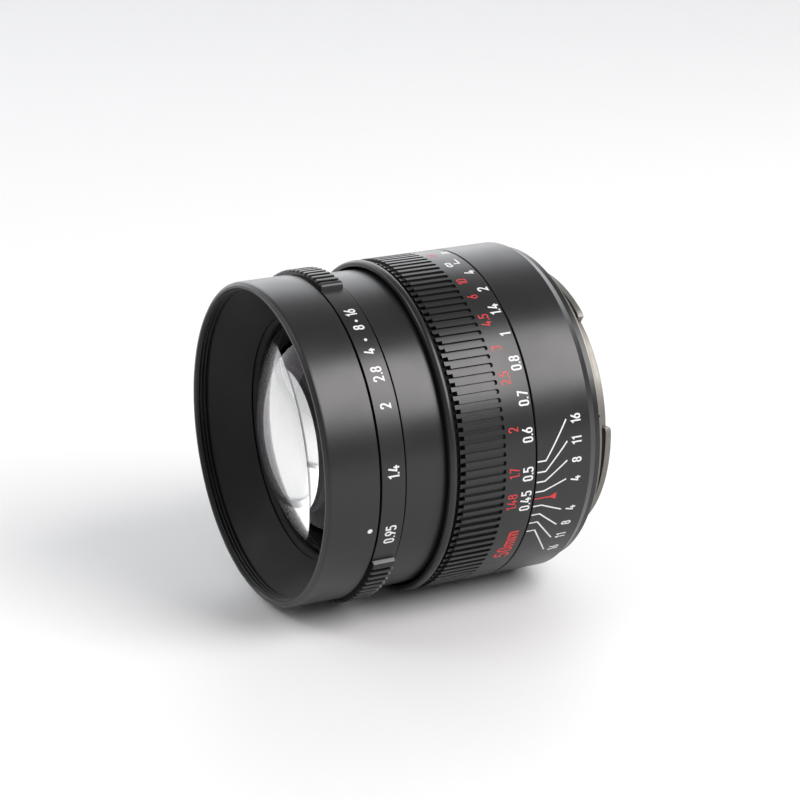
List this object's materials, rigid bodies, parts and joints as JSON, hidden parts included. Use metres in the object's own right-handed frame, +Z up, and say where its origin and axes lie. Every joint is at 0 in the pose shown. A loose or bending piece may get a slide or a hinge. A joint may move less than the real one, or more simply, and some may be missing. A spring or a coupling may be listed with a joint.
{
  "type": "prime camera lens",
  "caption": "Fast manual-focus prime lens with a turning focus ring that draws the optics in and out, an aperture ring that works an iris, and a rear bayonet mount.",
  "frame": {"origin": "On the surface the lens lies on, under the middle of its bounding box", "axes": "+Y along the optical axis from the front glass towards the camera mount, +Z up with the lens lying on its side, +X to the side that carries the focus index and the scales"},
  "size_m": [0.067, 0.065, 0.067],
  "materials": {
    "black_anodised": "satin black anodised, fine blasted grain",
    "matt_black": "matt black, non-reflecting",
    "brass": "machined",
    "chromed_brass": "satin chrome over brass",
    "blackened_steel": "blackened",
    "black_plastic": "moulded, matt",
    "coated_glass": "polished, purple and amber anti-reflection coating"
  },
  "bodies": {
    "barrel": {"rear_barrel": "black_anodised", "helicoid_keeper_ring": "brass", "guide_key_1": "brass", "guide_key_2": "brass", "bayonet_mount": "chromed_brass", "mount_screw_1": "chromed_brass", "mount_screw_2": "chromed_brass", "mount_screw_3": "chromed_brass", "mount_screw_4": "chromed_brass", "rear_baffle": "black_plastic"},
    "focus": {"focus_ring": "black_anodised", "focus_helicoid": "brass", "focus_set_screw_1": "blackened_steel", "focus_set_screw_2": "blackened_steel", "focus_set_screw_3": "blackened_steel"},
    "optics": {"front_barrel": "black_anodised", "front_retaining_ring": "matt_black", "front_cell": "matt_black", "front_spacer": "matt_black", "element_1_front": "coated_glass", "element_2": "coated_glass", "element_3": "coated_glass", "focusing_sleeve": "black_anodised", "blade_plate": "blackened_steel", "rear_cell": "matt_black", "element_4": "coated_glass", "element_5": "coated_glass", "element_6": "coated_glass", "rear_spacer": "matt_black", "element_7_rear": "coated_glass", "rear_retaining_ring": "matt_black"},
    "aperture": {"aperture_ring": "black_anodised", "aperture_link": "brass", "cam_ring": "blackened_steel"},
    "blade_01": {"iris_blade_01": "blackened_steel"},
    "blade_02": {"iris_blade_02": "blackened_steel"},
    "blade_03": {"iris_blade_03": "blackened_steel"},
    "blade_04": {"iris_blade_04": "blackened_steel"},
    "blade_05": {"iris_blade_05": "blackened_steel"},
    "blade_06": {"iris_blade_06": "blackened_steel"},
    "blade_07": {"iris_blade_07": "blackened_steel"},
    "blade_08": {"iris_blade_08": "blackened_steel"},
    "blade_09": {"iris_blade_09": "blackened_steel"},
    "blade_10": {"iris_blade_10": "blackened_steel"},
    "blade_11": {"iris_blade_11": "blackened_steel"},
    "blade_12": {"iris_blade_12": "blackened_steel"},
    "blade_13": {"iris_blade_13": "blackened_steel"}
  },
  "joints": [
    {"name": "focus_turn", "type": "hinge", "parent": "barrel", "child": "focus", "pos_m": [0, 0, 0.0335], "axis": [0, 1, 0], "range_deg": [0, 95.7]},
    {"name": "optics_slide", "type": "slide", "parent": "barrel", "child": "optics", "axis": [0, 1, 0], "range_m": [0, 0.0074]},
    {"name": "aperture_turn", "type": "hinge", "parent": "optics", "child": "aperture", "pos_m": [0, 0, 0.0335], "axis": [0, 1, 0], "range_deg": [0, 83.3]},
    {"name": "blade_01_swing", "type": "hinge", "parent": "optics", "child": "blade_01", "pos_m": [0.0238, 0.00015, 0.0335], "axis": [0, -1, 0], "range_deg": [0, 35.5]},
    {"name": "blade_02_swing", "type": "hinge", "parent": "optics", "child": "blade_02", "pos_m": [0.02107, 0.00015, 0.04456], "axis": [0, -1, 0], "range_deg": [0, 35.5]},
    {"name": "blade_03_swing", "type": "hinge", "parent": "optics", "child": "blade_03", "pos_m": [0.01352, 0.00015, 0.05308], "axis": [0, -1, 0], "range_deg": [0, 35.5]},
    {"name": "blade_04_swing", "type": "hinge", "parent": "optics", "child": "blade_04", "pos_m": [0.00287, 0.00015, 0.05712], "axis": [0, -1, 0], "range_deg": [0, 35.5]},
    {"name": "blade_05_swing", "type": "hinge", "parent": "optics", "child": "blade_05", "pos_m": [-0.00844, 0.00015, 0.05575], "axis": [0, -1, 0], "range_deg": [0, 35.5]},
    {"name": "blade_06_swing", "type": "hinge", "parent": "optics", "child": "blade_06", "pos_m": [-0.01782, 0.00015, 0.04928], "axis": [0, -1, 0], "range_deg": [0, 35.5]},
    {"name": "blade_07_swing", "type": "hinge", "parent": "optics", "child": "blade_07", "pos_m": [-0.02311, 0.00015, 0.03919], "axis": [0, -1, 0], "range_deg": [0, 35.5]},
    {"name": "blade_08_swing", "type": "hinge", "parent": "optics", "child": "blade_08", "pos_m": [-0.02311, 0.00015, 0.0278], "axis": [0, -1, 0], "range_deg": [0, 35.5]},
    {"name": "blade_09_swing", "type": "hinge", "parent": "optics", "child": "blade_09", "pos_m": [-0.01782, 0.00015, 0.01771], "axis": [0, -1, 0], "range_deg": [0, 35.5]},
    {"name": "blade_10_swing", "type": "hinge", "parent": "optics", "child": "blade_10", "pos_m": [-0.00844, 0.00015, 0.01124], "axis": [0, -1, 0], "range_deg": [0, 35.5]},
    {"name": "blade_11_swing", "type": "hinge", "parent": "optics", "child": "blade_11", "pos_m": [0.00287, 0.00015, 0.00987], "axis": [0, -1, 0], "range_deg": [0, 35.5]},
    {"name": "blade_12_swing", "type": "hinge", "parent": "optics", "child": "blade_12", "pos_m": [0.01352, 0.00015, 0.01391], "axis": [0, -1, 0], "range_deg": [0, 35.5]},
    {"name": "blade_13_swing", "type": "hinge", "parent": "optics", "child": "blade_13", "pos_m": [0.02107, 0.00015, 0.02244], "axis": [0, -1, 0], "range_deg": [0, 35.5]}
  ],
  "couplings": [
    {"joint": "focus_turn", "follows": "optics_slide", "rad_per_m": 225.5},
    {"joint": "blade_01_swing", "follows": "aperture_turn", "ratio": 0.4261},
    {"joint": "blade_02_swing", "follows": "aperture_turn", "ratio": 0.4261},
    {"joint": "blade_03_swing", "follows": "aperture_turn", "ratio": 0.4261},
    {"joint": "blade_04_swing", "follows": "aperture_turn", "ratio": 0.4261},
    {"joint": "blade_05_swing", "follows": "aperture_turn", "ratio": 0.4261},
    {"joint": "blade_06_swing", "follows": "aperture_turn", "ratio": 0.4261},
    {"joint": "blade_07_swing", "follows": "aperture_turn", "ratio": 0.4261},
    {"joint": "blade_08_swing", "follows": "aperture_turn", "ratio": 0.4261},
    {"joint": "blade_09_swing", "follows": "aperture_turn", "ratio": 0.4261},
    {"joint": "blade_10_swing", "follows": "aperture_turn", "ratio": 0.4261},
    {"joint": "blade_11_swing", "follows": "aperture_turn", "ratio": 0.4261},
    {"joint": "blade_12_swing", "follows": "aperture_turn", "ratio": 0.4261},
    {"joint": "blade_13_swing", "follows": "aperture_turn", "ratio": 0.4261}
  ]
}
